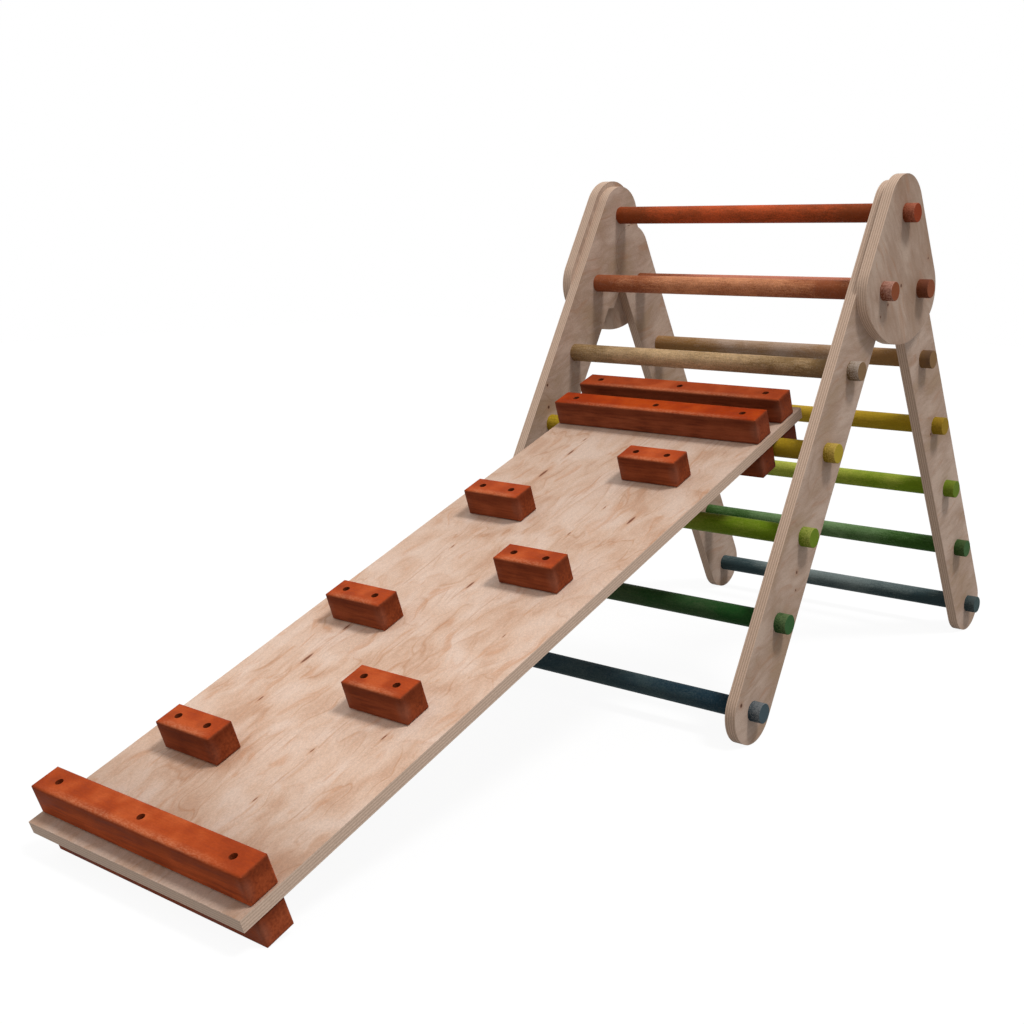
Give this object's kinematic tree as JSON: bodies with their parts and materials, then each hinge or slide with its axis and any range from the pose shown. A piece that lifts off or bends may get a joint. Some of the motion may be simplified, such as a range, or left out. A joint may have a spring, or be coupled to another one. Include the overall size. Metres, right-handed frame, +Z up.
{
  "type": "folding climbing triangle with ramp",
  "caption": "Folding wooden climbing triangle for children: two ladders of dyed dowels under rounded plywood side plates, and a ramp with climbing blocks hooked over a rung.",
  "frame": {"origin": "On the floor, at the middle of the space that the whole object takes up, with the ramp hooked on", "axes": "+X along the rungs, to the right as seen from the ramp's foot; +Y from the ramp's foot towards the rear ladder; +Z up"},
  "size_m": [0.658, 1.844, 0.8789],
  "materials": {
    "ladder_plywood": "birch plywood, oiled, matte, with vertical brown grain and layered edges",
    "ramp_plywood": "birch plywood, oiled, matte, with orange streaks and pin knots",
    "red_orange_stain": "beech dowel, worn red-orange dye",
    "orange_brown_stain": "beech dowel, worn orange-brown dye",
    "tan_stain": "beech dowel, worn tan dye",
    "brown_stain": "beech dowel, worn brown dye",
    "ochre_stain": "beech dowel, worn ochre-yellow dye",
    "yellow_stain": "beech dowel, worn yellow dye",
    "lime_stain": "beech dowel, worn lime-green dye",
    "green_stain": "beech dowel, worn dark green dye",
    "slate_blue_stain": "beech dowel, worn slate-blue dye",
    "block_stain": "softwood, orange-red stain with rounded, worn edges",
    "zinc_screw": "bright zinc plating"
  },
  "bodies": {
    "front_frame": {"side_plate_left": "ladder_plywood", "side_plate_right": "ladder_plywood", "front_stringer_left": "ladder_plywood", "front_stringer_right": "ladder_plywood", "front_rung_1": "red_orange_stain", "front_rung_2": "orange_brown_stain", "front_rung_3": "tan_stain", "front_rung_4": "ochre_stain", "front_rung_5": "lime_stain", "front_rung_6": "green_stain", "front_rung_7": "slate_blue_stain", "rear_rung_1": "orange_brown_stain"},
    "rear_frame": {"rear_stringer_left": "ladder_plywood", "rear_stringer_right": "ladder_plywood", "rear_rung_2": "brown_stain", "rear_rung_3": "yellow_stain", "rear_rung_4": "lime_stain", "rear_rung_5": "green_stain", "rear_rung_6": "slate_blue_stain"},
    "ramp": {"ramp_board": "ramp_plywood", "ramp_foot_batten": "block_stain", "ramp_hook_batten_front": "block_stain", "ramp_hook_batten_rear": "block_stain", "ramp_top_batten_low": "block_stain", "ramp_top_batten_front": "block_stain", "ramp_top_batten_rear": "block_stain", "climbing_block_1": "block_stain", "climbing_block_2": "block_stain", "climbing_block_3": "block_stain", "climbing_block_4": "block_stain", "climbing_block_5": "block_stain", "climbing_block_6": "block_stain", "ramp_long_screws": "zinc_screw", "ramp_short_screws": "zinc_screw"}
  },
  "joints": [
    {"name": "rear_fold", "type": "hinge", "parent": "front_frame", "child": "rear_frame", "pos_m": [0, 0.51653, 0.6881], "axis": [-1, 0, 0], "range_deg": [0, 58]},
    {"name": "ramp_lift", "type": "slide", "parent": "front_frame", "child": "ramp", "axis": [0, -0.3417, 0.9398], "range_m": [0, 0.15]}
  ]
}
